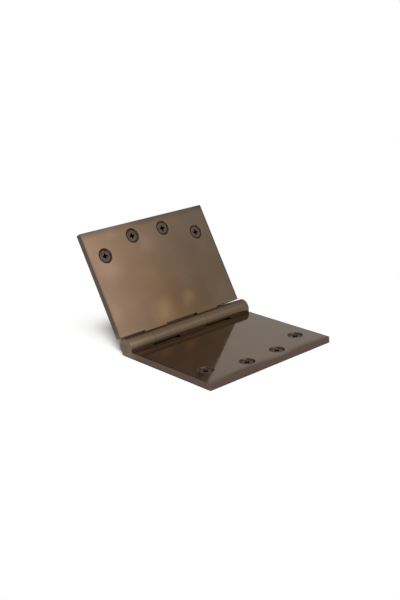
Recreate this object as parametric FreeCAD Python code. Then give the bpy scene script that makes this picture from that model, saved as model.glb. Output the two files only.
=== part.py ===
import FreeCAD, Part
import math
import os

# Parliament hinge: two plain rectangular leaves that turn on one pin, with five knuckles, washers between
# the knuckles and four countersunk wood screws in each leaf.
#
# X runs along the pin. The fixed leaf reaches out along -Y with its back face on Z = 0. The origin is on
# that back face, under the middle of the pin. All lengths are in millimetres and angles in degrees.

# Leaves
LEAF_LENGTH = 101.6
LEAF_REACH = 76.2
LEAF_THICKNESS = 4.0
EDGE_BREAK = 0.4
OPENING_ANGLE = 120.0

# Barrel, with the leaves' back faces tangent to it
BARREL_DIAMETER = 11.4
END_KNUCKLE_LENGTH = 18.0
MIDDLE_KNUCKLE_LENGTH = 21.8
ROOT_FILLET = 0.4
NOTCH_GAP = 1.0

# Pin, fast in the fixed leaf and free in the swing leaf
PIN_DIAMETER = 6.0
PIN_PLAY = 0.05

# Washers, one at each of the four joints between the five knuckles
WASHER_COUNT = 4
WASHER_THICKNESS = 2.0
WASHER_INSET = 0.05
END_PLAY = 0.1

# Screw places: the two middle screws stand nearer to the outer edge than the two end ones
SCREW_END_MARGIN = 12.7
MIDDLE_SCREW_REACH_MARGIN = 9.1
END_SCREW_REACH_MARGIN = 17.4

# Countersunk holes
COUNTERSINK_DIAMETER = 10.0
COUNTERSINK_ANGLE = 90.0
SCREW_HOLE_DIAMETER = 5.2

# Wood screws, with the thread left off its core
HEAD_DIAMETER = 8.4
SHANK_DIAMETER = 4.8
THREAD_CORE_DIAMETER = 3.2
SCREW_LENGTH = 19.0
PLAIN_LENGTH = 7.6
TIP_LENGTH = 2.0
SEAT_GAP = 0.02

# Cross recess in the screw heads
RECESS_SPAN = 4.8
RECESS_WING = 1.15
RECESS_DEPTH = 2.2
RECESS_TAPER = 25.0

# How far a cutting tool runs past the face that it cuts
OVERCUT = 1.0

# Two places nearer than this are the same
SAME_PLACE = 0.001

# Worked out from the sizes above
BARREL_RADIUS = BARREL_DIAMETER / 2
PIN_RADIUS = PIN_DIAMETER / 2
HALF_LENGTH = LEAF_LENGTH / 2
NOTCH_REACH = BARREL_RADIUS + NOTCH_GAP
FIXED_KNUCKLE_SUM = 2 * END_KNUCKLE_LENGTH + MIDDLE_KNUCKLE_LENGTH
SWING_KNUCKLE_LENGTH = (LEAF_LENGTH - FIXED_KNUCKLE_SUM - WASHER_COUNT * WASHER_THICKNESS) / 2
KNUCKLE_LENGTHS = [
    END_KNUCKLE_LENGTH,
    SWING_KNUCKLE_LENGTH,
    MIDDLE_KNUCKLE_LENGTH,
    SWING_KNUCKLE_LENGTH,
    END_KNUCKLE_LENGTH,
]
CONE_SLOPE = math.tan(math.radians(COUNTERSINK_ANGLE / 2))
SCREW_PITCH = (LEAF_LENGTH - 2 * SCREW_END_MARGIN) / 3
SCREW_PLACES = [
    (-1.5 * SCREW_PITCH, END_SCREW_REACH_MARGIN),
    (-0.5 * SCREW_PITCH, MIDDLE_SCREW_REACH_MARGIN),
    (0.5 * SCREW_PITCH, MIDDLE_SCREW_REACH_MARGIN),
    (1.5 * SCREW_PITCH, END_SCREW_REACH_MARGIN),
]

X_AXIS = FreeCAD.Vector(1, 0, 0)
Z_AXIS = FreeCAD.Vector(0, 0, 1)
PIN_CENTRE = FreeCAD.Vector(0, 0, BARREL_RADIUS)


def knuckle_span(index):
    """Lowest and highest X of one knuckle, counted from the -X end."""
    start = -HALF_LENGTH + sum(KNUCKLE_LENGTHS[:index]) + index * WASHER_THICKNESS
    return start, start + KNUCKLE_LENGTHS[index]


def leaf_section():
    """P-shaped section of a leaf that lies flat along -Y: web, root fillet and barrel."""

    def at(y, z):
        return FreeCAD.Vector(-HALF_LENGTH, y, z)

    # The fillet touches the inner face from above and the barrel from outside
    fillet_z = LEAF_THICKNESS + ROOT_FILLET
    fillet_up = fillet_z - BARREL_RADIUS
    fillet_out = math.sqrt((BARREL_RADIUS + ROOT_FILLET) ** 2 - fillet_up**2)
    touch_share = BARREL_RADIUS / (BARREL_RADIUS + ROOT_FILLET)
    touch = at(-fillet_out * touch_share, BARREL_RADIUS + fillet_up * touch_share)
    web_start = at(-fillet_out, LEAF_THICKNESS)
    middle = (web_start + touch) * 0.5 - at(-fillet_out, fillet_z)
    middle.x = 0
    fillet_middle = at(-fillet_out, fillet_z) + middle.normalize() * ROOT_FILLET

    tangent = at(0, 0)
    far_side = at(BARREL_RADIUS, BARREL_RADIUS)
    back_corner = at(-LEAF_REACH, 0)
    inner_corner = at(-LEAF_REACH, LEAF_THICKNESS)
    outline = [
        Part.LineSegment(back_corner, tangent),
        Part.Arc(tangent, far_side, touch),
        Part.Arc(touch, fillet_middle, web_start),
        Part.LineSegment(web_start, inner_corner),
        Part.LineSegment(inner_corner, back_corner),
    ]
    return Part.Face(Part.Wire([segment.toShape() for segment in outline]))


def eased_edges(blank):
    """The drawn bar with its ends and its outer edges eased."""

    def is_sharp(edge):
        on_an_end = edge.BoundBox.XLength < SAME_PLACE
        on_the_outer_edge = edge.BoundBox.YMax < SAME_PLACE - LEAF_REACH
        return on_an_end or on_the_outer_edge

    return blank.makeChamfer(EDGE_BREAK, [edge for edge in blank.Edges if is_sharp(edge)])


def screw_hole(x, margin):
    """Cutting tool for one countersunk hole, with its mouth on the inner face."""
    mouth = COUNTERSINK_DIAMETER / 2
    hole = SCREW_HOLE_DIAMETER / 2
    profile = [
        (0, LEAF_THICKNESS + OVERCUT),
        (mouth + OVERCUT * CONE_SLOPE, LEAF_THICKNESS + OVERCUT),
        (hole, LEAF_THICKNESS - (mouth - hole) / CONE_SLOPE),
        (hole, -OVERCUT),
        (0, -OVERCUT),
    ]
    return turned(profile, FreeCAD.Vector(x, margin - LEAF_REACH, 0))


def turned(profile, place):
    """A solid of revolution about the Z axis through a place, from its radius and height pairs."""
    points = [place + FreeCAD.Vector(radius, 0, height) for radius, height in profile]
    face = Part.Face(Part.makePolygon(points + points[:1]))
    return face.revolve(place, Z_AXIS, 360)


def notch(index, side_gap):
    """Cutting tool that clears one knuckle of the other leaf, with its washers."""
    start, end = knuckle_span(index)
    return Part.makeBox(
        end - start + 2 * side_gap,
        NOTCH_REACH + BARREL_RADIUS + OVERCUT,
        BARREL_DIAMETER + 2 * OVERCUT,
        FreeCAD.Vector(start - side_gap, -NOTCH_REACH, -OVERCUT),
    )


def leaf(other_knuckles, side_gap, bore_radius):
    """A leaf lying flat along -Y, bored for the pin and cut away at the other leaf's knuckles."""
    blank = eased_edges(leaf_section().extrude(X_AXIS * LEAF_LENGTH))
    bore_start = PIN_CENTRE - X_AXIS * (HALF_LENGTH + OVERCUT)
    bore = Part.makeCylinder(bore_radius, LEAF_LENGTH + 2 * OVERCUT, bore_start, X_AXIS)
    notches = [notch(index, side_gap) for index in other_knuckles]
    holes = [screw_hole(x, margin) for x, margin in SCREW_PLACES]
    return blank.cut([bore] + notches + holes)


def cross_recess():
    """Cutting tool for the driver's cross: two tapered wings that meet on the screw's axis."""
    top = RECESS_SPAN / 2
    lean = math.tan(math.radians(RECESS_TAPER))
    corners = [
        (-top - OVERCUT * lean, OVERCUT),
        (top + OVERCUT * lean, OVERCUT),
        (top - RECESS_DEPTH * lean, -RECESS_DEPTH),
        (-top + RECESS_DEPTH * lean, -RECESS_DEPTH),
    ]
    points = [FreeCAD.Vector(x, -RECESS_WING / 2, z) for x, z in corners]
    wing = Part.Face(Part.makePolygon(points + points[:1])).extrude(FreeCAD.Vector(0, RECESS_WING, 0))
    crossing = wing.copy()
    crossing.rotate(FreeCAD.Vector(), Z_AXIS, 90)
    return wing.fuse(crossing)


def screw(x, margin):
    """A countersunk wood screw, seated in its hole of a leaf that lies flat."""
    head = HEAD_DIAMETER / 2
    shank = SHANK_DIAMETER / 2
    core = THREAD_CORE_DIAMETER / 2
    profile = [
        (0, 0),
        (head, 0),
        (shank, -(head - shank) / CONE_SLOPE),
        (shank, -PLAIN_LENGTH),
        (core, -PLAIN_LENGTH),
        (core, -SCREW_LENGTH + TIP_LENGTH),
        (0, -SCREW_LENGTH),
    ]
    body = turned(profile, FreeCAD.Vector()).cut(cross_recess())
    sunk = (COUNTERSINK_DIAMETER - HEAD_DIAMETER) / 2 / CONE_SLOPE
    body.translate(FreeCAD.Vector(x, margin - LEAF_REACH, LEAF_THICKNESS - sunk + SEAT_GAP))
    return body


def washer(index):
    """The washer between one knuckle and the next, carried on the pin."""
    end = knuckle_span(index)[1]
    base = PIN_CENTRE + X_AXIS * end
    disc = Part.makeCylinder(BARREL_RADIUS - WASHER_INSET, WASHER_THICKNESS, base, X_AXIS)
    hole = Part.makeCylinder(PIN_RADIUS + PIN_PLAY, WASHER_THICKNESS, base, X_AXIS)
    return disc.cut(hole)


def swung(shape):
    """A piece of a leaf that lies flat along -Y, carried over to the swing leaf at its opening angle."""
    moved = shape.copy()
    moved.rotate(FreeCAD.Vector(), Z_AXIS, 180)
    moved.rotate(PIN_CENTRE, X_AXIS, 180 - OPENING_ANGLE)
    return moved


def pieces():
    """Every piece of the hinge by its name."""
    fixed_knuckles = range(0, len(KNUCKLE_LENGTHS), 2)
    swing_knuckles = range(1, len(KNUCKLE_LENGTHS), 2)
    fixed_leaf = leaf(swing_knuckles, WASHER_THICKNESS, PIN_RADIUS)
    swing_leaf = leaf(fixed_knuckles, WASHER_THICKNESS + END_PLAY, PIN_RADIUS + PIN_PLAY)
    made = {
        "fixed_leaf": fixed_leaf,
        "swing_leaf": swung(swing_leaf),
        "hinge_pin": Part.makeCylinder(PIN_RADIUS, LEAF_LENGTH, PIN_CENTRE - X_AXIS * HALF_LENGTH, X_AXIS),
    }
    for index in range(WASHER_COUNT):
        made[f"washer_{index + 1}"] = washer(index)
    for number, (x, margin) in enumerate(SCREW_PLACES, start=1):
        made[f"fixed_screw_{number}"] = screw(x, margin)
        made[f"swing_screw_{number}"] = swung(screw(-x, margin))
    return made


os.makedirs("parts", exist_ok=True)
for name, shape in pieces().items():
    shape.exportStep(f"parts/{name}.step")
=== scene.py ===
# Parliament hinge in toned bronze: two broad rectangular leaves on a five-knuckle barrel, with its pin, its
# washers and eight countersunk wood screws. Pieces are modelled in millimetres and settled in metres, in the
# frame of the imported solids: X along the pin, the fixed leaf along -Y with its back face on Z = 0.

import math

import bmesh
import bpy
from bpy.props import FloatProperty, FloatVectorProperty, PointerProperty
from bpy.types import Operator, Panel, PropertyGroup
from mathutils import Matrix, Vector


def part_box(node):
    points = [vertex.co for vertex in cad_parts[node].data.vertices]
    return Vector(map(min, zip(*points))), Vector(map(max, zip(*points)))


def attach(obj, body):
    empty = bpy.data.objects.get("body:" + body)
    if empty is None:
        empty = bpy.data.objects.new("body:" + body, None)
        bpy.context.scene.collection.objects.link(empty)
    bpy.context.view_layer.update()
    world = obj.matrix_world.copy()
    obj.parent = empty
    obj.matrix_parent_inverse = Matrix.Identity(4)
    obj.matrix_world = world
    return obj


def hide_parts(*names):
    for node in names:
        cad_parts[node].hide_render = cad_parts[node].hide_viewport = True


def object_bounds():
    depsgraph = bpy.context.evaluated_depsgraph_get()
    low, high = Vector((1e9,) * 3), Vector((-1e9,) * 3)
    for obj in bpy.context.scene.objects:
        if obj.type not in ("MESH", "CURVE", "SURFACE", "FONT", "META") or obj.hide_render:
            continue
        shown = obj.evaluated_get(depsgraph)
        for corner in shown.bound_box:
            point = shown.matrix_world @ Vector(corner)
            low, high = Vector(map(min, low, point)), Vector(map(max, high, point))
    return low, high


bl_info = {
    "name": "Parliament Hinge",
    "version": (1, 0, 0),
    "blender": (4, 5, 0),
    "location": "View3D > Sidebar > Hinge",
    "description": "Builds a toned bronze parliament hinge around its packed solids",
    "category": "Add Mesh",
}

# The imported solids, with the box of the whole part and that of the fixed leaf
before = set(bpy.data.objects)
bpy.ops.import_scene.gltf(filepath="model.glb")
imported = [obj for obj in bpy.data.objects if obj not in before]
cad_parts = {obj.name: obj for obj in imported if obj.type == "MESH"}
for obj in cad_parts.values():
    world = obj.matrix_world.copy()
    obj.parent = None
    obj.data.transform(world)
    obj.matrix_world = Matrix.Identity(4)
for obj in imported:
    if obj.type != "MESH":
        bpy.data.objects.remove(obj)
CAD_LOW, CAD_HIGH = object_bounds()
LEAF_LOW, LEAF_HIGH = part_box("fixed_leaf")

# One millimetre in metres
MM = 0.001

# Screws of each leaf, knuckles of each leaf counted from the -X end, and washers between the knuckles
SCREW_COUNT = 4
FIXED_KNUCKLES = (0, 2, 4)
SWING_KNUCKLES = (1, 3)
WASHER_COUNT = 4

# How finely round forms are divided: steps in a full turn, and steps in the fillet's arc
BARREL_STEPS = 128
BORE_STEPS = 72
HOLE_STEPS = 64
SCREW_STEPS = 48
FILLET_STEPS = 10

# Cutters run past what they cut, and points nearer than the weld are one
OVERCUT = 1.0
WELD = 0.0005

# Edges sharper than the first angle can be eased, and edges sharper than the second stay sharp to the eye
EASED_ABOVE = math.radians(30)
CREASE = math.radians(12)

# A face looks along an axis when its normal has more than this share of it
FACING = 0.9

# Thread of a screw: flank and crest as shares of the pitch, spare turns that are cut off, turns in which it
# runs out into the shank, and the power that rounds its point
FLANK_START = 0.4
CREST_START = 0.68
CREST_END = 0.74
SPARE_TURNS = 2
RUN_OUT_TURNS = 1.2
POINT_POWER = 0.8

# Head and shank of a screw, in millimetres: height in which the shank meets the thread, and easing of the
# head. The floor of the cross recess keeps these shares of a wing's span, width and depth
SHANK_JOINT = 0.3
HEAD_EASING = 0.1
WING_FLOOR = (0.4, 0.7, 1.0)

# Painted shade, as a share of the crevice colour: on the wiped rims of countersinks, in holes and roots, in
# notches and on knuckle ends, and on the eased edges beside the barrel
RIM_SHADE = 0.6
HOLE_SHADE = 0.85
NOTCH_SHADE = 1.0
GAP_SHADE = 0.5

# The finish that the leaves and the pin share
LEAF_FINISH = "antique_bronze_polished"

# Patterns in the leaves' tone: size of their features in millimetres, detail and roughness. Most of such a
# pattern lies between the two levels
CLOUDS = (38, 1.5, 0.4)
BLOOMS = (19, 1.5, 0.5)
PITS = (1.6, 3.0, 0.6)
NOISE_LOW = 0.3
NOISE_HIGH = 0.7

# The drift from rose at 0 to slate at 1: its values at the ends of the pin, and how far the clouds move it
DRIFT_ENDS = (-0.35, 0.65)
CLOUD_DRIFT = 0.7

# Soft spots of the tone on the swing leaf: X, reach from the pin and radius, in millimetres. The blooms pull
# their outlines about by up to half the pull
GOLD_SPOTS = ((-12.5, 14, 14), (11.5, 18.5, 7))
EMBER_SPOTS = ((-4, 61, 10), (-31, 71, 9), (-37, 50, 14), (-47, 22, 10))
SPOT_PULL = 11

# The most that each layer of tone covers, and the least that the borders keep where the clouds thin them
GOLD_COVER = 0.8
EMBER_COVER = 0.6
WAX_COVER = 0.4
BARREL_COVER = 0.85
CUT_END_COVER = 0.4
BORDER_LEAST = 0.3

# Where a layer starts and where it is full: turned barrel and plate in barrel diameters from the pin's axis,
# wax in shares of the reach and by X in millimetres. Borders have widths in millimetres and follow the clouds
TURNED_ZONE = (0.56, 0.51)
PLATE_ZONE = (0.5, 1.2)
WAX_REACH = (0.3, 0.8)
WAX_ALONG = (-25, 10)
OUTER_BORDER = 5.5
END_BORDER = 2
BORDER_CLOUDS = (0.65, 0.35)

# Unevenness of the leaves: how far blooms and pits shade the tone, and the strength of the pits' relief and
# its depth in millimetres
BLOOM_SHADE = 0.06
PIT_SHADE = 0.02
PIT_STRENGTH = 0.02
PIT_DEPTH = 0.01

# Roughness of the polished plates, and what the turned barrel, the sawn sides and the recesses add to it
PLATE_ROUGHNESS = (0.05, 0.09)
BARREL_ROUGHER = 0.24
SIDE_ROUGHER = 0.15
RECESS_ROUGHER = 0.2

# Satin of the screws and washers: grain in millimetres, roughness, how far the grain moves it, and the levels
# of the grain at which stains start and are full
SCREW_GRAIN = 1.4
SCREW_ROUGHNESS = 0.48
WASHER_GRAIN = 1.0
WASHER_ROUGHNESS = 0.26
SATIN_SMOOTHER = 0.05
SATIN_ROUGHER = 0.08
STAIN_LEVELS = (0.45, 0.75)

# Head of a screw, in millimetres: blur of the painted shade round its edge, and spacing and depth of the
# lathe's rings, with the strength of their relief. A wave texture goes through this many radians in one unit
RIM_BLUR = 0.2
RING_SPACING = 0.45
RING_DEPTH = 0.03
RING_STRENGTH = 0.15
WAVE_RADIANS = 20

# The camera that the photograph's edges give, about the pin's middle, in millimetres
CAMERA_AZIMUTH = math.radians(-41.6493)
CAMERA_ELEVATION = math.radians(18.6413)
CAMERA_ROLL = math.radians(-2.2757)
CAMERA_DISTANCE = 633.1807
CAMERA_SIDE = -8.2046
CAMERA_LIFT = -17.0764
FOCAL_PIXELS = 983.0615
LONG_SIDE_PIXELS = 600
SENSOR_WIDTH = 36.0

# The studio as the metal mirrors it: a white horizon, a grey low sky, a paler high sky and a round scrim.
# Each sky starts and is full at a height, the upward part of a direction
HORIZON_LEVEL = 0.95
LOW_SKY_LEVEL = 0.61
LOW_SKY_HEIGHTS = (0.02, 0.25)
HIGH_SKY_LEVEL = 0.8
HIGH_SKY_HEIGHTS = (0.2, 0.75)
SCRIM_TOWARDS = Vector((0.035, -0.73, 0.68)).normalized()
SCRIM_RIM = math.radians(38)
SCRIM_CORE = math.radians(27)
SCRIM_LEVEL = 1.45

# What lights the floor: azimuth, elevation, spread and level of each soft lamp, and a little from all round
LAMPS = {"key": (-65, 66, 20, 2.57), "fill": (-40, 66, 25, 1.12)}
AMBIENT_LEVEL = 0.03

# The floor's reach in metres, and its drop below the fixed leaf's back face in millimetres
FLOOR_REACH = 30
FLOOR_DROP = 0.1

WHITE = (1, 1, 1, 1)


def linear(code):
    """A colour as the shaders take it, from its sRGB hex value."""
    channels = [int(code[start : start + 2], 16) / 255 for start in (1, 3, 5)]
    return tuple(c / 12.92 if c <= 0.04045 else ((c + 0.055) / 1.055) ** 2.4 for c in channels) + (1.0,)


def length(name, description, millimetres):
    """A size that the sidebar shows, with its default in millimetres."""
    return FloatProperty(
        name=name, description=description, default=millimetres * MM, unit="LENGTH", precision=5
    )


def colour(name, description, code):
    """A colour that the sidebar shows, with its default as an sRGB hex value."""
    return FloatVectorProperty(
        name=name, description=description, default=linear(code), subtype="COLOR", size=4, min=0.0, max=1.0
    )


class HingeLeafSizes(PropertyGroup):
    """Sizes of the two leaves and of the barrel between them"""

    length: length("Length", "Leaf along the pin", (LEAF_HIGH.x - LEAF_LOW.x) / MM)
    reach: length("Reach", "From the pin's axis to the leaf's outer edge", -LEAF_LOW.y / MM)
    thickness: length("Thickness", "Plate of the leaf", 4.0)
    edge: length("Edge break", "Chamfer round the leaf's ends and its outer edge", 0.4)
    joint_edge: length("Deburring", "Easing of knuckle ends, notches and holes", 0.1)
    opening: FloatProperty(
        name="Opening", description="Angle between the leaves", default=math.radians(120), subtype="ANGLE"
    )
    barrel: length("Barrel diameter", "Outside of the knuckles", 11.4)
    end_knuckle: length("End knuckle", "Length of the first and the last knuckle", 18.0)
    middle_knuckle: length("Middle knuckle", "Length of the middle knuckle", 21.8)
    fillet: length("Root fillet", "Between the plate and the barrel", 0.4)
    notch: length("Notch gap", "Between a knuckle and the other leaf's plate", 1.0)
    pin: length("Pin diameter", "Rod through the knuckles", 6.0)
    play: length("Pin play", "Radial play in the knuckles that turn", 0.05)
    washer: length("Washer thickness", "Between two knuckles", 2.0)
    washer_inset: length("Washer inset", "Washer's edge below the barrel's face", 0.05)
    end_play: length("End play", "Between a washer and a knuckle that turns", 0.1)


class HingeScrewSizes(PropertyGroup):
    """Sizes and places of the screws and of their holes"""

    end_margin: length("End margin", "From the leaf's end to its first screw", 12.7)
    middle_inset: length("Middle inset", "From the outer edge to the two middle screws", 9.1)
    end_inset: length("End inset", "From the outer edge to the two end screws", 17.4)
    mouth: length("Countersink", "Diameter of the countersink on the leaf's face", 10.0)
    hole: length("Hole", "Diameter of the hole through the leaf", 5.2)
    clean: length("Clean rim", "Depth to which the countersink was wiped", 0.1)
    head: length("Head", "Diameter of the head", 8.4)
    shank: length("Shank", "Diameter of the plain shank and of the thread", 4.8)
    core: length("Core", "Diameter at the bottom of the thread", 3.2)
    overall: length("Length", "From the head to the point", 19.0)
    plain: length("Plain length", "From the head to the thread", 7.6)
    point: length("Point", "Tapered end of the thread", 5.0)
    pitch: length("Pitch", "One turn of the thread", 2.2)
    seat: length("Seat gap", "Head above its seat", 0.02)
    recess: length("Recess", "Span of the cross recess", 4.8)
    wing: length("Wing", "Width of the recess's wings", 1.15)
    star: length("Star", "Corner to corner of the hollow where the wings meet", 3.4)
    recess_depth: length("Recess depth", "Depth of the cross recess", 2.2)
    # The painted shade round the head's edge starts outside this disc
    bright: length("Bright disc", "Diameter of the head inside its dark rim", 7.3)


class HingeFinish(PropertyGroup):
    """Colours of the toned bronze and of the stage"""

    rose: colour("Rose bronze", "Thin tone towards the -X end", "#796453")
    olive: colour("Olive bronze", "Full tone over the middle", "#7C634B")
    slate: colour("Slate bronze", "Thick, cooler tone towards the +X end", "#786857")
    gold: colour("Golden bronze", "Spots where the tone was rubbed thin", "#9A7E5E")
    ember: colour("Ember bronze", "Spots where the red of the metal shows", "#8A7160")
    wax: colour("Waxed bronze", "Greyer tone far from the pin, towards the +X end", "#7C6E62")
    barrel: colour("Barrel bronze", "Turned barrel", "#685848")
    glancing: colour("Glancing bronze", "Turned barrel, seen along its face", "#D2C3B4")
    side: colour("Plum bronze", "Sawn edges of the plates", "#594B44")
    glancing_side: colour("Glancing plum", "Borders of the plates, seen along their face", "#E4D0CE")
    edge: colour("Broken edge", "Chamfers, where the tone is thick", "#6B5A4D")
    # Painted shade in the holes, notches and roots of the leaves; on the screws, the dark of their stains
    crevice_shade_and_stain: colour("Crevice", "Tone gathered in holes, notches and roots", "#382D25")
    washer: colour("Washer", "Edge of the washers", "#6D5E4E")
    screw: colour("Screw", "Bronzed screw", "#5A4D43")
    # Painted shade round the edge of a screw's head
    screw_rim_shade: colour("Screw rim", "Tone gathered round the head", "#392B21")
    # Painted shade in a screw's cross recess
    screw_recess_shade: colour("Screw recess", "Tone gathered in the screw's recess", "#150E0A")
    floor: colour("Floor", "Pale studio floor", "#F4F4F4")


def mm(value):
    """A size property in millimetres."""
    return value / MM


def swing_matrix(leaf):
    """Carries a piece of a flat leaf along -Y over to the swing leaf."""
    pin = Vector((0, 0, mm(leaf.barrel) / 2))
    turn = Matrix.Rotation(math.pi - leaf.opening, 4, "X")
    return Matrix.Translation(pin) @ turn @ Matrix.Translation(-pin) @ Matrix.Rotation(math.pi, 4, "Z")


def lie_along_pin(leaf, x=0):
    """Lays an upright piece down along the pin's axis, with its origin at an X."""
    return Matrix.Translation((x, 0, mm(leaf.barrel) / 2)) @ Matrix.Rotation(math.pi / 2, 4, "Y")


def knuckle_span(leaf, index):
    """Lowest and highest X of one knuckle, counted from the -X end."""
    end = mm(leaf.end_knuckle)
    middle = mm(leaf.middle_knuckle)
    washer = mm(leaf.washer)
    side = (mm(leaf.length) - 2 * end - middle - WASHER_COUNT * washer) / 2
    lengths = [end, side, middle, side, end]
    start = sum(lengths[:index]) + index * washer - mm(leaf.length) / 2
    return start, start + lengths[index]


def screw_places(leaf, screws):
    """X and Y of a flat leaf's screws, from the -X end."""
    last = SCREW_COUNT - 1
    pitch = (mm(leaf.length) - 2 * mm(screws.end_margin)) / last
    places = []
    for index in range(SCREW_COUNT):
        inset = screws.end_inset if index in (0, last) else screws.middle_inset
        places.append(((index - last / 2) * pitch, mm(inset) - mm(leaf.reach)))
    return places


def turned(bm, profile, steps, place=(0, 0, 0)):
    """Spins an outline of radius and height pairs a full turn about the upright axis through a place."""
    place = Vector(place)
    verts = [bm.verts.new(place + Vector((radius, 0, height))) for radius, height in profile]
    edges = [bm.edges.new(pair) for pair in zip(verts, verts[1:])]
    bmesh.ops.spin(
        bm, geom=verts + edges, cent=place, axis=(0, 0, 1), angle=math.tau, steps=steps, use_merge=True
    )
    bmesh.ops.remove_doubles(bm, verts=bm.verts, dist=WELD)
    bmesh.ops.recalc_face_normals(bm, faces=bm.faces)


def carved(solid, cutters):
    """The solid of one bmesh less the solids of others. All of them are used up."""
    blocks = []
    for source in [solid] + cutters:
        mesh = bpy.data.meshes.new("block")
        source.to_mesh(mesh)
        source.free()
        block = bpy.data.objects.new("block", mesh)
        bpy.context.scene.collection.objects.link(block)
        blocks.append(block)
    for cutter in blocks[1:]:
        cut = blocks[0].modifiers.new("Cut", "BOOLEAN")
        cut.operation = "DIFFERENCE"
        cut.solver = "EXACT"
        cut.object = cutter
    bpy.context.view_layer.update()
    result = bmesh.new()
    result.from_object(blocks[0], bpy.context.evaluated_depsgraph_get())
    for block in blocks:
        mesh = block.data
        bpy.data.objects.remove(block)
        bpy.data.meshes.remove(mesh)
    return result


def soften(bm, width, segments, chosen=lambda edge: True):
    """Eases the chosen ones of the sharp convex edges, and returns the new faces."""
    edges = [
        edge
        for edge in bm.edges
        if edge.is_manifold and edge.is_convex and edge.calc_face_angle() > EASED_ABOVE and chosen(edge)
    ]
    made = bmesh.ops.bevel(
        bm,
        geom=edges,
        offset=width,
        offset_type="OFFSET",
        affect="EDGES",
        segments=segments,
        profile=0.5,
        material=-1,
        clamp_overlap=True,
        loop_slide=False,
    )
    return made["faces"]


def settle(context, name, bm, placement, finish, body, node):
    """Makes a piece of a bmesh in millimetres, in its place, riding on a body instead of its CAD node."""
    for edge in bm.edges:
        edge.smooth = not edge.is_manifold or edge.calc_face_angle() < CREASE
    bmesh.ops.transform(bm, matrix=Matrix.Scale(MM, 4) @ placement, verts=bm.verts)
    mesh = bpy.data.meshes.new(name)
    bm.to_mesh(mesh)
    bm.free()
    for face in mesh.polygons:
        face.use_smooth = True
    mesh.materials.append(finish)
    piece = bpy.data.objects.new(name, mesh)
    context.scene.collection.objects.link(piece)
    normals = piece.modifiers.new("Flat faces stay flat", "WEIGHTED_NORMAL")
    normals.keep_sharp = True
    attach(piece, body)
    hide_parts(node)


def add(tree, kind, inputs=None, **settings):
    """Adds a node with its settings. Inputs are sockets to link or values to set."""
    node = tree.nodes.new(kind)
    for name, value in settings.items():
        setattr(node, name, value)
    for socket, value in (inputs or {}).items():
        if isinstance(value, bpy.types.NodeSocket):
            tree.links.new(value, node.inputs[socket])
        else:
            node.inputs[socket].default_value = value
    return node


def per(millimetres):
    """The scale of a texture on Object coordinates whose features are that large."""
    return 1 / (millimetres * MM)


def new_finish(name):
    """A new material and its shader."""
    finish = bpy.data.materials.new(name)
    finish.use_nodes = True
    return finish, finish.node_tree.nodes["Principled BSDF"]


def drifting_tone(tree, colours, along, clouds):
    """The tone from end to end of the pin: rose, then olive, then slate, moved to and fro by the clouds."""
    low_end, high_end = DRIFT_ENDS
    ends = {"From Min": CAD_LOW.x, "From Max": CAD_HIGH.x, "To Min": low_end, "To Max": high_end}
    drift = add(tree, "ShaderNodeMapRange", {"Value": along, **ends}).outputs["Result"]
    drift = add(
        tree, "ShaderNodeMath", {0: clouds, 1: CLOUD_DRIFT, 2: drift}, operation="MULTIPLY_ADD"
    ).outputs["Value"]
    ramp = add(tree, "ShaderNodeValToRGB", {0: drift})
    for stop, tone in zip(ramp.color_ramp.elements, (colours.rose, colours.slate)):
        stop.color = tone
    halfway = ramp.color_ramp.elements.new(0.5)
    halfway.color = colours.olive
    return ramp.outputs["Color"]


def soft_spots(tree, place, leaf, spots):
    """How far each point lies inside any of the spots on the swing leaf, from 0 to 1."""
    cover = 0.0
    for x, reach, size in spots:
        centre = swing_matrix(leaf) @ Vector((-x, -reach, mm(leaf.thickness)))
        away = add(
            tree, "ShaderNodeVectorMath", {0: place, 1: centre * MM}, operation="DISTANCE"
        ).outputs["Value"]
        spot = add(
            tree,
            "ShaderNodeMapRange",
            {"Value": away, "From Min": size * MM, "From Max": 0.0},
            interpolation_type="SMOOTHSTEP",
        ).outputs["Result"]
        cover = add(tree, "ShaderNodeMath", {0: spot, 1: cover}, operation="MAXIMUM").outputs["Value"]
    return cover


def spotted_tone(tree, tone, colours, leaf, here, blooms):
    """The tone with golden and red spots, whose outlines the blooms pull about."""
    middle_grey = (0.5, 0.5, 0.5)
    pull = add(
        tree, "ShaderNodeVectorMath", {0: blooms, 1: middle_grey}, operation="SUBTRACT"
    ).outputs["Vector"]
    pulled = add(
        tree, "ShaderNodeVectorMath", {0: pull, 1: [SPOT_PULL * MM] * 3, 2: here}, operation="MULTIPLY_ADD"
    ).outputs["Vector"]
    kinds = ((GOLD_SPOTS, colours.gold, GOLD_COVER), (EMBER_SPOTS, colours.ember, EMBER_COVER))
    for spots, spot_tone, most in kinds:
        cover = soft_spots(tree, pulled, leaf, spots)
        cover = add(tree, "ShaderNodeMath", {0: cover, 1: most}, operation="MULTIPLY").outputs["Value"]
        tone = add(tree, "ShaderNodeMix", {0: cover, 6: tone, 7: spot_tone}, data_type="RGBA").outputs[2]
    return tone


def waxed_share(tree, leaf, off_pin, along):
    """Wax that dried grey far from the pin, towards the +X end."""
    start, full = WAX_REACH
    zone = {"From Min": leaf.reach * start, "From Max": leaf.reach * full, "To Max": WAX_COVER}
    far = add(tree, "ShaderNodeMapRange", {"Value": off_pin, **zone}).outputs["Result"]
    start, full = WAX_ALONG
    aside = add(
        tree, "ShaderNodeMapRange", {"Value": along, "From Min": start * MM, "From Max": full * MM}
    ).outputs["Result"]
    return add(tree, "ShaderNodeMath", {0: far, 1: aside}, operation="MULTIPLY").outputs["Value"]


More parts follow.
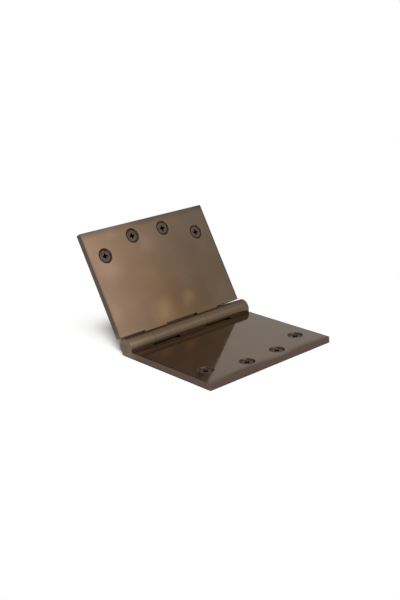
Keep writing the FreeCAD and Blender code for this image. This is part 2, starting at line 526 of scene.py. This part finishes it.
def border_share(tree, leaf, off_pin, off_middle, plate, clouds):
    """Plum tone that gathered along the borders of the plates, here more and there less."""
    sides = ((off_pin, leaf.reach, OUTER_BORDER), (off_middle, leaf.length / 2, END_BORDER))
    strips = []
    for place, limit, width in sides:
        strip = add(
            tree,
            "ShaderNodeMapRange",
            {"Value": place, "From Min": limit - width * MM, "From Max": limit},
            interpolation_type="SMOOTHSTEP",
        ).outputs["Result"]
        strips.append(strip)
    outer, ends = strips
    ends = add(tree, "ShaderNodeMath", {0: ends, 1: plate}, operation="MULTIPLY").outputs["Value"]
    border = add(tree, "ShaderNodeMath", {0: outer, 1: ends}, operation="MAXIMUM").outputs["Value"]
    thin, thick = BORDER_CLOUDS
    levels = {"From Min": thin, "From Max": thick, "To Min": BORDER_LEAST}
    gathered = add(tree, "ShaderNodeMapRange", {"Value": clouds, **levels}).outputs["Result"]
    return add(tree, "ShaderNodeMath", {0: border, 1: gathered}, operation="MULTIPLY").outputs["Value"]


def leaf_bronze(colours, leaf):
    """Cast brass, machined and polished, then toned to an antique bronze and waxed.

    The eye gets a dark mirror whose tone drifts in soft clouds along the pin: rose, then olive, then slate,
    with golden and red spots, plum on the sawn edges, and painted shade near black in the holes, notches and
    roots. The barrel is turned and stays satin, its first knuckle lighter as a painted highlight. Wiping
    leaves the gloss a little uneven.
    """
    known = bpy.data.materials.get(LEAF_FINISH)
    if known:
        return known
    finish, shader = new_finish(LEAF_FINISH)
    tree = finish.node_tree
    here = add(tree, "ShaderNodeTexCoord").outputs["Object"]
    patterns = []
    for size, detail, grit in (CLOUDS, BLOOMS, PITS):
        noise = {"Vector": here, "Scale": per(size), "Detail": detail, "Roughness": grit}
        patterns.append(add(tree, "ShaderNodeTexNoise", noise).outputs)
    clouds, blooms, pits = patterns

    # Where a point lies: along the pin, off the pin's middle, and off the pin's axis
    along = add(tree, "ShaderNodeSeparateXYZ", {0: here}).outputs["X"]
    off_middle = add(tree, "ShaderNodeMath", {0: along}, operation="ABSOLUTE").outputs["Value"]
    pin = (0, 0, leaf.barrel / 2)
    off_pin = add(tree, "ShaderNodeVectorMath", {0: here, 1: pin}, operation="SUBTRACT").outputs["Vector"]
    off_pin = add(
        tree, "ShaderNodeVectorMath", {0: off_pin, 1: (0, 1, 1)}, operation="MULTIPLY"
    ).outputs["Vector"]
    off_pin = add(tree, "ShaderNodeVectorMath", {0: off_pin}, operation="LENGTH").outputs["Value"]

    # How much of the turned barrel and of the plate is there
    shares = []
    for start, full in (TURNED_ZONE, PLATE_ZONE):
        zone = {"Value": off_pin, "From Min": leaf.barrel * start, "From Max": leaf.barrel * full}
        shares.append(add(tree, "ShaderNodeMapRange", zone).outputs["Result"])
    barrel, plate = shares

    # The barrel's tone, which thickens along its first knuckle so that its -X end stays lighter as a painted
    # highlight, and the plum of its cut ends
    end = leaf.length / 2
    zones = (
        (along, CAD_LOW.x, CAD_LOW.x + leaf.end_knuckle, BARREL_COVER),
        (off_middle, end - leaf.edge, end, CUT_END_COVER),
    )
    shares = []
    for place, start, full, most in zones:
        zone = {"Value": place, "From Min": start, "From Max": full, "To Max": most}
        shares.append(add(tree, "ShaderNodeMapRange", zone).outputs["Result"])
    painted_highlight_ramp, cut_end = shares
    barrel_tone = add(
        tree, "ShaderNodeMath", {0: barrel, 1: painted_highlight_ramp}, operation="MULTIPLY"
    ).outputs["Value"]

    # Sawn sides, broken edges and the painted shade in recesses, as they are marked on the faces
    sawn = add(tree, "ShaderNodeAttribute", attribute_name="side").outputs["Fac"]
    side = add(tree, "ShaderNodeMath", {0: sawn, 1: plate}, operation="MULTIPLY").outputs["Value"]
    broken = add(tree, "ShaderNodeAttribute", attribute_name="edge").outputs["Fac"]
    edge = add(tree, "ShaderNodeMath", {0: broken, 1: plate}, operation="MULTIPLY").outputs["Value"]
    recess = add(tree, "ShaderNodeAttribute", attribute_name="recess").outputs["Fac"]

    # The tone of the plate, with blooms and pits in it, and the layers over it
    tone = drifting_tone(tree, colours, along, clouds["Fac"])
    tone = spotted_tone(tree, tone, colours, leaf, here, blooms["Color"])
    for pattern, swing in ((blooms["Fac"], BLOOM_SHADE), (pits["Fac"], PIT_SHADE)):
        levels = {"From Min": NOISE_LOW, "From Max": NOISE_HIGH, "To Min": 1 - swing, "To Max": 1 + swing}
        shade = add(tree, "ShaderNodeMapRange", {"Value": pattern, **levels}).outputs["Result"]
        tone = add(tree, "ShaderNodeVectorMath", {0: tone, 1: shade}, operation="MULTIPLY").outputs["Vector"]
    border = border_share(tree, leaf, off_pin, off_middle, plate, clouds["Fac"])
    layers = (
        (waxed_share(tree, leaf, off_pin, along), colours.wax),
        (border, colours.side),
        (barrel_tone, colours.barrel),
        (cut_end, colours.side),
        (side, colours.side),
        (edge, colours.edge),
        # Painted shade in holes, notches, roots and on the edges beside the barrel
        (recess, colours.crevice_shade_and_stain),
    )
    for share, layer in layers:
        tone = add(tree, "ShaderNodeMix", {0: share, 6: tone, 7: layer}, data_type="RGBA").outputs[2]

    # Gloss, and the tint of what is seen along its face
    smoothest, roughest = PLATE_ROUGHNESS
    levels = {"From Min": NOISE_LOW, "From Max": NOISE_HIGH, "To Min": smoothest, "To Max": roughest}
    roughness = add(tree, "ShaderNodeMapRange", {"Value": blooms["Fac"], **levels}).outputs["Result"]
    for share, more in ((barrel, BARREL_ROUGHER), (side, SIDE_ROUGHER), (recess, RECESS_ROUGHER)):
        roughness = add(
            tree, "ShaderNodeMath", {0: share, 1: more, 2: roughness}, operation="MULTIPLY_ADD"
        ).outputs["Value"]
    ripple = add(
        tree, "ShaderNodeBump", {"Height": pits["Fac"], "Strength": PIT_STRENGTH, "Distance": PIT_DEPTH * MM}
    ).outputs["Normal"]
    tube = add(
        tree, "ShaderNodeMath", {0: barrel, 1: sawn}, operation="SUBTRACT", use_clamp=True
    ).outputs["Value"]
    glancing = WHITE
    for share, tint in ((tube, colours.glancing), (border, colours.glancing_side)):
        glancing = add(tree, "ShaderNodeMix", {0: share, 6: glancing, 7: tint}, data_type="RGBA").outputs[2]
    shader.inputs["Metallic"].default_value = 1.0
    tree.links.new(tone, shader.inputs["Base Color"])
    tree.links.new(glancing, shader.inputs["Specular Tint"])
    tree.links.new(roughness, shader.inputs["Roughness"])
    tree.links.new(ripple, shader.inputs["Normal"])
    return finish


def satin_bronze(tree, shader, base, dark, roughness, grain):
    """Gives a shader the satin gloss of small toned bronze, and returns its tone, broken by a fine grain."""
    here = add(tree, "ShaderNodeTexCoord").outputs["Object"]
    speckle = add(
        tree, "ShaderNodeTexNoise", {"Vector": here, "Scale": per(grain), "Detail": 3.0, "Roughness": 0.6}
    ).outputs["Fac"]
    gloss = add(
        tree,
        "ShaderNodeMapRange",
        {
            "Value": speckle,
            "From Min": NOISE_LOW,
            "From Max": NOISE_HIGH,
            "To Min": roughness - SATIN_SMOOTHER,
            "To Max": roughness + SATIN_ROUGHER,
        },
    ).outputs["Result"]
    shader.inputs["Metallic"].default_value = 1.0
    tree.links.new(gloss, shader.inputs["Roughness"])
    start, full = STAIN_LEVELS
    stain = add(
        tree, "ShaderNodeMapRange", {"Value": speckle, "From Min": start, "From Max": full}
    ).outputs["Result"]
    return add(tree, "ShaderNodeMix", {0: stain, 6: base, 7: dark}, data_type="RGBA").outputs[2]


def washer_bronze(colours):
    """Phosphor bronze washers, punched from strip and toned. The eye gets a narrow satin band."""
    finish, shader = new_finish("washer_phosphor_bronze")
    tree = finish.node_tree
    tone = satin_bronze(tree, shader, colours.washer, colours.barrel, WASHER_ROUGHNESS, WASHER_GRAIN)
    tree.links.new(tone, shader.inputs["Base Color"])
    shader.inputs["Specular Tint"].default_value = colours.glancing
    return finish


def screw_bronze(colours, screws):
    """Turned wood screw, chemically bronzed.

    The eye gets a satin grey-brown disc, painted shade as a dark rim round it, and a painted black star of
    shade in the recess. The lathe's rings on the head are really under 0.1 mm apart, and are drawn coarser to
    show.
    """
    finish, shader = new_finish("screw_bronze_satin")
    tree = finish.node_tree
    tone = satin_bronze(tree, shader, colours.screw, colours.crevice_shade_and_stain, SCREW_ROUGHNESS, SCREW_GRAIN)
    across = add(tree, "ShaderNodeUVMap", uv_map="head").outputs["UV"]
    radius = add(tree, "ShaderNodeVectorMath", {0: across}, operation="LENGTH").outputs["Value"]
    bright = mm(screws.bright) / 2
    rim = add(
        tree,
        "ShaderNodeMapRange",
        {"Value": radius, "From Min": bright - RIM_BLUR, "From Max": bright + RIM_BLUR},
        interpolation_type="SMOOTHSTEP",
    ).outputs["Result"]
    recess = add(tree, "ShaderNodeAttribute", attribute_name="recess").outputs["Fac"]
    # Painted shade: a dark rim round the head's edge and near black in the cross recess
    for share, layer in ((rim, colours.screw_rim_shade), (recess, colours.screw_recess_shade)):
        tone = add(tree, "ShaderNodeMix", {0: share, 6: tone, 7: layer}, data_type="RGBA").outputs[2]
    ring_scale = math.tau / WAVE_RADIANS / RING_SPACING
    rings = add(
        tree,
        "ShaderNodeTexWave",
        {"Vector": across, "Scale": ring_scale, "Distortion": 0.6, "Detail": 1.0},
        wave_type="RINGS",
        rings_direction="Z",
    ).outputs["Fac"]
    turned_marks = add(
        tree, "ShaderNodeBump", {"Height": rings, "Strength": RING_STRENGTH, "Distance": RING_DEPTH * MM}
    ).outputs["Normal"]
    tree.links.new(tone, shader.inputs["Base Color"])
    tree.links.new(turned_marks, shader.inputs["Normal"])
    return finish


def leaf_bar(leaf):
    """A drawn bar with the leaf's P-shaped section, lying flat along -Y."""
    bm = bmesh.new()
    radius = mm(leaf.barrel) / 2
    thickness = mm(leaf.thickness)
    fillet = mm(leaf.fillet)
    start = -mm(leaf.length) / 2
    rise = thickness + fillet - radius
    out = math.sqrt((radius + fillet) ** 2 - rise**2)
    lean = math.atan2(rise, -out) % math.tau

    # Barrel from the back face round to the fillet, then the fillet down to the inner face
    first = bm.verts.new((start, 0, 0))
    sweep = lean + math.pi / 2
    barrel = bmesh.ops.spin(
        bm,
        geom=[first],
        cent=(start, 0, radius),
        axis=(1, 0, 0),
        angle=sweep,
        steps=round(BARREL_STEPS * sweep / math.tau),
    )
    touch = [vert for vert in barrel["geom_last"] if isinstance(vert, bmesh.types.BMVert)]
    root = bmesh.ops.spin(
        bm,
        geom=touch,
        cent=(start, -out, thickness + fillet),
        axis=(-1, 0, 0),
        angle=lean - math.pi / 2,
        steps=FILLET_STEPS,
    )
    web = [vert for vert in root["geom_last"] if isinstance(vert, bmesh.types.BMVert)]

    # Plate, out to the outer edge and back under
    for y, z in ((-mm(leaf.reach), thickness), (-mm(leaf.reach), 0)):
        web = bmesh.ops.extrude_vert_indiv(bm, verts=web)["verts"]
        web[0].co = (start, y, z)
    bmesh.ops.contextual_create(bm, geom=[web[0], first])
    section = bmesh.ops.contextual_create(bm, geom=bm.edges[:])["faces"]
    bar = bmesh.ops.extrude_face_region(bm, geom=section)
    far = [vert for vert in bar["geom"] if isinstance(vert, bmesh.types.BMVert)]
    bmesh.ops.translate(bm, verts=far, vec=(mm(leaf.length), 0, 0))
    bmesh.ops.recalc_face_normals(bm, faces=bm.faces)
    return bm


def leaf_cutters(leaf, screws, other_knuckles, side_gap, bore_radius):
    """What a leaf is cut with: the pin's bore, notches for the other leaf's knuckles, countersunk holes."""
    radius = mm(leaf.barrel) / 2
    reach = radius + mm(leaf.notch)
    bore = bmesh.new()
    bmesh.ops.create_cone(
        bore,
        cap_ends=True,
        segments=BORE_STEPS,
        radius1=bore_radius,
        radius2=bore_radius,
        depth=mm(leaf.length) + 2 * OVERCUT,
        matrix=lie_along_pin(leaf),
    )
    notches = bmesh.new()
    for index in other_knuckles:
        low, high = knuckle_span(leaf, index)
        size = (high - low + 2 * side_gap, reach + radius + OVERCUT, 2 * radius + 2 * OVERCUT)
        middle = ((low + high) / 2, (radius + OVERCUT - reach) / 2, radius)
        block = Matrix.Translation(middle) @ Matrix.Diagonal((*size, 1))
        bmesh.ops.create_cube(notches, size=1, matrix=block)
    holes = bmesh.new()
    mouth = mm(screws.mouth) / 2
    hole = mm(screws.hole) / 2
    clean = mm(screws.clean)
    top = mm(leaf.thickness)
    profile = [
        (0, top + OVERCUT),
        (mouth + OVERCUT, top + OVERCUT),
        (mouth - clean, top - clean),
        (hole, top - mouth + hole),
        (hole, -OVERCUT),
        (0, -OVERCUT),
    ]
    for x, y in screw_places(leaf, screws):
        turned(holes, profile, HOLE_STEPS, (x, y, 0))
    return [bore, notches, holes]


def leaf_solid(leaf, screws, other_knuckles, side_gap, bore_radius):
    """A leaf that lies flat, with its edges broken, and its faces marked as the finish needs them."""
    cutters = leaf_cutters(leaf, screws, other_knuckles, side_gap, bore_radius)
    bm = carved(leaf_bar(leaf), cutters)
    side_mark = bm.faces.layers.float.new("side")
    edge_mark = bm.faces.layers.float.new("edge")
    painted_shade_mark = bm.faces.layers.float.new("recess")
    places = screw_places(leaf, screws)
    radius = mm(leaf.barrel) / 2
    notch_y = -radius - mm(leaf.notch)
    outer_y = WELD - mm(leaf.reach)
    end_x = mm(leaf.length) / 2 - WELD
    inner_z = mm(leaf.thickness) + WELD
    mouth = mm(screws.mouth) / 2
    dark = mouth - mm(screws.clean)

    def from_axis(place):
        return math.hypot(place.y, place.z - radius)

    def on_the_border(edge):
        ends = [vert.co for vert in edge.verts]
        on_an_end = all(abs(end.x) > end_x and from_axis(end) > bore_radius + WELD for end in ends)
        return on_an_end or all(end.y < outer_y for end in ends)

    def inside(edge):
        return all(abs(vert.co.x) < end_x and vert.co.y > outer_y for vert in edge.verts)

    for face in bm.faces:
        middle = face.calc_center_median()
        across = abs(face.normal.x) > FACING
        sloped = abs(face.normal.z) < FACING
        off_screw = min((middle.xy - Vector(place)).length for place in places)
        in_a_hole = sloped and off_screw < dark
        on_a_rim = sloped and dark < off_screw < mouth
        in_a_notch = face.normal.y > FACING and abs(middle.y - notch_y) < WELD
        in_the_root = not across and middle.z > inner_z and from_axis(middle) > radius + WELD
        at_an_end = across and abs(middle.x) > end_x
        at_the_outer_edge = face.normal.y < -FACING and middle.y < outer_y
        face[side_mark] = float(at_an_end or at_the_outer_edge)
        face[edge_mark] = RIM_SHADE * on_a_rim
        # Painted shade, kept in the recess mark: on countersink rims, in holes and roots, in notches and on
        # knuckle ends
        if on_a_rim:
            face[painted_shade_mark] = RIM_SHADE
        elif in_a_hole or in_the_root:
            face[painted_shade_mark] = HOLE_SHADE
        elif in_a_notch or across and not at_an_end:
            face[painted_shade_mark] = NOTCH_SHADE
    for face in soften(bm, mm(leaf.edge), segments=1, chosen=on_the_border):
        face[edge_mark] = 1.0
        face[side_mark] = 0.0
        face[painted_shade_mark] = 0.0
    # The deburred edges by the notches, beside the barrel, get painted shade
    for face in soften(bm, mm(leaf.joint_edge), segments=2, chosen=inside):
        middle = face.calc_center_median()
        in_the_gap = middle.y > notch_y - mm(leaf.joint_edge) and from_axis(middle) > radius
        face[painted_shade_mark] = GAP_SHADE * in_the_gap
    return bm


class HINGE_OT_leaves(Operator):
    """Make both leaves with their knuckles, notches and countersunk holes"""

    bl_idname = "hinge.make_leaves"
    bl_label = "Leaves"

    def execute(self, context):
        leaf = context.scene.hinge_leaf
        screws = context.scene.hinge_screws
        finish = leaf_bronze(context.scene.hinge_finish, leaf)
        washer = mm(leaf.washer)
        pin = mm(leaf.pin) / 2
        fixed = leaf_solid(leaf, screws, SWING_KNUCKLES, washer, pin)
        swing = leaf_solid(leaf, screws, FIXED_KNUCKLES, washer + mm(leaf.end_play), pin + mm(leaf.play))
        for body, bm, place in (("fixed", fixed, Matrix()), ("swing", swing, swing_matrix(leaf))):
            settle(
                context,
                f"leaf_{body}",
                bm,
                place,
                finish,
                body=body,
                node=f"{body}_leaf",
            )
        return {"FINISHED"}


class HINGE_OT_pin(Operator):
    """Make the pin, with its filed ends flush with the barrel"""

    bl_idname = "hinge.make_pin"
    bl_label = "Pin"

    def execute(self, context):
        leaf = context.scene.hinge_leaf
        half = mm(leaf.length) / 2
        radius = mm(leaf.pin) / 2
        bm = bmesh.new()
        turned(bm, [(0, half), (radius, half), (radius, -half), (0, -half)], BORE_STEPS)
        soften(bm, mm(leaf.play), segments=2)
        finish = leaf_bronze(context.scene.hinge_finish, leaf)
        place = lie_along_pin(leaf)
        settle(context, "pin_rod", bm, place, finish, body="fixed", node="hinge_pin")
        return {"FINISHED"}


class HINGE_OT_washers(Operator):
    """Make the washers between the knuckles"""

    bl_idname = "hinge.make_washers"
    bl_label = "Washers"

    def execute(self, context):
        leaf = context.scene.hinge_leaf
        finish = washer_bronze(context.scene.hinge_finish)
        outer = mm(leaf.barrel) / 2 - mm(leaf.washer_inset)
        inner = mm(leaf.pin) / 2 + mm(leaf.play)
        half = mm(leaf.washer) / 2
        ring = [(inner, half), (outer, half), (outer, -half), (inner, -half), (inner, half)]
        for index in range(WASHER_COUNT):
            bm = bmesh.new()
            turned(bm, ring, BARREL_STEPS)
            soften(bm, mm(leaf.joint_edge), segments=2)
            place = lie_along_pin(leaf, knuckle_span(leaf, index)[1] + half)
            number = index + 1
            settle(
                context,
                f"washer_ring_{number}",
                bm,
                place,
                finish,
                body="fixed",
                node=f"washer_{number}",
            )
        return {"FINISHED"}


def thread_tube(bm, screws):
    """A right-handed wood thread about the Z axis, run out into the shank and tapered to a point."""
    shank = mm(screws.shank) / 2
    core = mm(screws.core) / 2
    pitch = mm(screws.pitch)
    top = -mm(screws.plain)
    end = -mm(screws.overall)
    blunt_end = end + pitch / 4
    turns = math.ceil((top - end) / pitch) + SPARE_TURNS
    ridge = [(core, 0), (core, FLANK_START), (shank, CREST_START), (shank, CREST_END), (core, 1)]
    verts = [bm.verts.new((radius, 0, top + pitch * (1 - share))) for radius, share in ridge]
    edges = [bm.edges.new(pair) for pair in zip(verts, verts[1:])]
    bmesh.ops.spin(
        bm,
        geom=verts + edges,
        cent=(0, 0, 0),
        axis=(0, 0, -1),
        dvec=(0, 0, -pitch / SCREW_STEPS),
        angle=turns * math.tau,
        steps=turns * SCREW_STEPS,
    )
    bmesh.ops.remove_doubles(bm, verts=bm.verts, dist=WELD)
    for height, side in ((top, 1), (blunt_end, -1)):
        bmesh.ops.bisect_plane(
            bm,
            geom=bm.verts[:] + bm.edges[:] + bm.faces[:],
            plane_co=(0, 0, height),
            plane_no=(0, 0, side),
            clear_outer=True,
        )
    for vert in bm.verts:
        radius = math.hypot(vert.co.x, vert.co.y)
        run_out = min(max((vert.co.z - top) / (RUN_OUT_TURNS * pitch) + 1, 0), 1)
        taper = min((vert.co.z - end) / mm(screws.point), 1) ** POINT_POWER
        share = (radius + (shank - radius) * run_out) * taper / radius
        vert.co.x *= share
        vert.co.y *= share
    last = min(vert.co.z for vert in bm.verts)
    tip = [vert for vert in bm.verts if vert.co.z < last + WELD]
    bmesh.ops.pointmerge(bm, verts=tip, merge_co=(0, 0, end))


def recess_wing(screws, turn):
    """One tapered blade of the cross recess."""
    bm = bmesh.new()
    depth = mm(screws.recess_depth)
    bmesh.ops.create_cube(bm, size=1)
    floor = [vert for vert in bm.verts if vert.co.z < 0]
    bmesh.ops.scale(bm, verts=floor, vec=WING_FLOOR)
    size = Matrix.Diagonal((mm(screws.recess), mm(screws.wing), depth + OVERCUT, 1))
    block = Matrix.Translation((0, 0, (OVERCUT - depth) / 2)) @ size
    bmesh.ops.transform(bm, verts=bm.verts, matrix=Matrix.Rotation(turn, 4, "Z") @ block)
    return bm


def recess_star(screws):
    """The four-cornered hollow where the blades of the cross recess meet, half as wide at its floor."""
    bm = bmesh.new()
    depth = mm(screws.recess_depth) + OVERCUT
    corner = mm(screws.star) / 2
    lean = corner / 2 / mm(screws.recess_depth)
    bmesh.ops.create_cone(
        bm,
        cap_ends=True,
        segments=4,
        radius1=corner / 2,
        radius2=corner + OVERCUT * lean,
        depth=depth,
        matrix=Matrix.Translation((0, 0, OVERCUT - depth / 2)),
    )
    return bm


def screw_solid(screws):
    """A countersunk wood screw, head up, with the top of its head on Z = 0."""
    head = mm(screws.head) / 2
    shank = mm(screws.shank) / 2
    bm = bmesh.new()
    thread_tube(bm, screws)
    profile = [(0, 0), (head, 0), (shank, shank - head), (shank, SHANK_JOINT - mm(screws.plain))]
    turned(bm, profile, SCREW_STEPS)
    rims = [edge for edge in bm.edges if edge.is_boundary]
    bmesh.ops.bridge_loops(bm, edges=rims)
    bmesh.ops.recalc_face_normals(bm, faces=bm.faces)
    bm = carved(bm, [recess_wing(screws, 0), recess_wing(screws, math.pi / 2), recess_star(screws)])
    painted_shade_mark = bm.faces.layers.float.new("recess")
    across = bm.loops.layers.uv.new("head")
    for face in bm.faces:
        middle = face.calc_center_median()
        inside = math.hypot(middle.x, middle.y) < mm(screws.recess) / 2 + WELD
        face[painted_shade_mark] = float(inside and -mm(screws.recess_depth) - WELD < middle.z < -WELD)

    def on_top(edge):
        return min(vert.co.z for vert in edge.verts) > -WELD

    soften(bm, HEAD_EASING, segments=2, chosen=on_top)
    for face in bm.faces:
        for corner in face.loops:
            corner[across].uv = corner.vert.co.xy
    return bm


class HINGE_OT_screws(Operator):
    """Make the eight countersunk wood screws in their holes"""

    bl_idname = "hinge.make_screws"
    bl_label = "Screws"

    def execute(self, context):
        leaf = context.scene.hinge_leaf
        screws = context.scene.hinge_screws
        finish = screw_bronze(context.scene.hinge_finish, screws)
        sunk = (mm(screws.mouth) - mm(screws.head)) / 2 - mm(screws.seat)
        height = mm(leaf.thickness) - sunk
        for number, (x, y) in enumerate(screw_places(leaf, screws), start=1):
            fixed = Matrix.Translation((x, y, height))
            swing = swing_matrix(leaf) @ Matrix.Translation((-x, y, height))
            for body, place in (("fixed", fixed), ("swing", swing)):
                settle(
                    context,
                    f"screw_{body}_{number}",
                    screw_solid(screws),
                    place,
                    finish,
                    body=body,
                    node=f"{body}_screw_{number}",
                )
        return {"FINISHED"}


class HINGE_OT_stage(Operator):
    """Make the floor, the soft studio light and the camera"""

    bl_idname = "hinge.make_stage"
    bl_label = "Stage"

    def execute(self, context):
        context.scene.view_settings.view_transform = "Standard"
        self.floor(context)
        self.light(context)
        self.camera(context)
        return {"FINISHED"}

    def looking_in(self, azimuth, elevation):
        """The turn of a lamp or camera that looks level-headed at the object from an angle."""
        rise = math.cos(elevation)
        back = Vector((math.sin(azimuth) * rise, -math.cos(azimuth) * rise, math.sin(elevation)))
        right = Vector((math.cos(azimuth), math.sin(azimuth), 0))
        return Matrix((right, back.cross(right), back)).transposed().to_4x4()

    def floor(self, context):
        """A pale paper floor just under the fixed leaf's back face."""
        bm = bmesh.new()
        bmesh.ops.create_grid(bm, x_segments=1, y_segments=1, size=FLOOR_REACH)
        bmesh.ops.translate(bm, verts=bm.verts, vec=(0, 0, -FLOOR_DROP * MM))
        mesh = bpy.data.meshes.new("floor")
        bm.to_mesh(mesh)
        bm.free()
        floor = bpy.data.objects.new("floor", mesh)
        context.scene.collection.objects.link(floor)
        paper, shader = new_finish("paper_matt_white")
        shader.inputs["Base Color"].default_value = context.scene.hinge_finish.floor
        shader.inputs["Roughness"].default_value = 1.0
        shader.inputs["Specular IOR Level"].default_value = 0.0
        mesh.materials.append(paper)

    def light(self, context):
        """The studio that the metal mirrors, and two soft lamps for the floor and its shadow."""
        world = bpy.data.worlds.new("studio")
        context.scene.world = world
        world.use_nodes = True
        tree = world.node_tree
        back = tree.nodes["Background"]
        towards = add(tree, "ShaderNodeTexCoord").outputs["Generated"]
        up = add(tree, "ShaderNodeSeparateXYZ", {0: towards}).outputs["Z"]
        facing = add(
            tree, "ShaderNodeVectorMath", {0: towards, 1: SCRIM_TOWARDS}, operation="DOT_PRODUCT"
        ).outputs["Value"]
        glows = (
            (up, LOW_SKY_HEIGHTS, HORIZON_LEVEL, LOW_SKY_LEVEL),
            (up, HIGH_SKY_HEIGHTS, 0.0, HIGH_SKY_LEVEL - LOW_SKY_LEVEL),
            (facing, (math.cos(SCRIM_RIM), math.cos(SCRIM_CORE)), 0.0, SCRIM_LEVEL),
        )
        studio = 0.0
        for place, (start, full), before, beyond in glows:
            glow = add(
                tree,
                "ShaderNodeMapRange",
                {"Value": place, "From Min": start, "From Max": full, "To Min": before, "To Max": beyond},
                interpolation_type="SMOOTHSTEP",
            ).outputs["Result"]
            studio = add(tree, "ShaderNodeMath", {0: studio, 1: glow}, operation="ADD").outputs["Value"]

        # The camera sees white, the metal sees the studio, and the rest gets a little light from all round
        path = add(tree, "ShaderNodeLightPath").outputs
        rays = {0: path["Is Camera Ray"], 1: path["Is Transmission Ray"]}
        clear = add(tree, "ShaderNodeMath", rays, operation="MAXIMUM").outputs["Value"]
        strength = AMBIENT_LEVEL
        for ray, level in ((path["Is Glossy Ray"], studio), (clear, 1.0)):
            strength = add(tree, "ShaderNodeMix", {0: ray, 2: strength, 3: level}).outputs[0]
        tree.links.new(strength, back.inputs["Strength"])
        back.inputs["Color"].default_value = WHITE
        for name, (azimuth, elevation, spread, level) in LAMPS.items():
            lamp = bpy.data.lights.new(name, "SUN")
            lamp.energy = level
            lamp.angle = math.radians(spread)
            source = bpy.data.objects.new(name, lamp)
            source.matrix_world = self.looking_in(math.radians(azimuth), math.radians(elevation))
            source.visible_glossy = False
            context.scene.collection.objects.link(source)

    def camera(self, context):
        """The photograph's own view, with the pin's middle off the picture's centre."""
        turn = self.looking_in(CAMERA_AZIMUTH, CAMERA_ELEVATION) @ Matrix.Rotation(CAMERA_ROLL, 4, "Z")
        pin = Vector((0, 0, mm(context.scene.hinge_leaf.barrel) / 2))
        place = pin + turn @ Vector((-CAMERA_SIDE, -CAMERA_LIFT, CAMERA_DISTANCE))
        lens = bpy.data.cameras.new("camera")
        lens.sensor_width = SENSOR_WIDTH
        lens.lens = FOCAL_PIXELS / LONG_SIDE_PIXELS * SENSOR_WIDTH
        camera = bpy.data.objects.new("camera", lens)
        camera.matrix_world = Matrix.Translation(place * MM) @ turn
        context.scene.collection.objects.link(camera)
        context.scene.camera = camera


class HINGE_PT_parts(Panel):
    """Lists the hinge's pieces and their sizes in the sidebar"""

    bl_idname = "HINGE_PT_parts"
    bl_label = "Parliament hinge"
    bl_space_type = "VIEW_3D"
    bl_region_type = "UI"
    bl_category = "Hinge"

    def draw(self, context):
        for maker in MAKERS:
            self.layout.operator(maker.bl_idname)
        for group in (context.scene.hinge_leaf, context.scene.hinge_screws, context.scene.hinge_finish):
            box = self.layout.box()
            for name in group.__annotations__:
                box.prop(group, name)


MAKERS = (HINGE_OT_leaves, HINGE_OT_pin, HINGE_OT_washers, HINGE_OT_screws, HINGE_OT_stage)
GROUPS = {"hinge_leaf": HingeLeafSizes, "hinge_screws": HingeScrewSizes, "hinge_finish": HingeFinish}


def register():
    for group in (*GROUPS.values(), *MAKERS, HINGE_PT_parts):
        bpy.utils.register_class(group)
    for name, group in GROUPS.items():
        setattr(bpy.types.Scene, name, PointerProperty(type=group))


def unregister():
    for name in GROUPS:
        delattr(bpy.types.Scene, name)
    for group in (HINGE_PT_parts, *MAKERS, *GROUPS.values()):
        bpy.utils.unregister_class(group)


def main():
    register()
    bpy.ops.hinge.make_stage()
    bpy.ops.hinge.make_leaves()
    bpy.ops.hinge.make_pin()
    bpy.ops.hinge.make_washers()
    bpy.ops.hinge.make_screws()


if __name__ == "__main__":
    main()
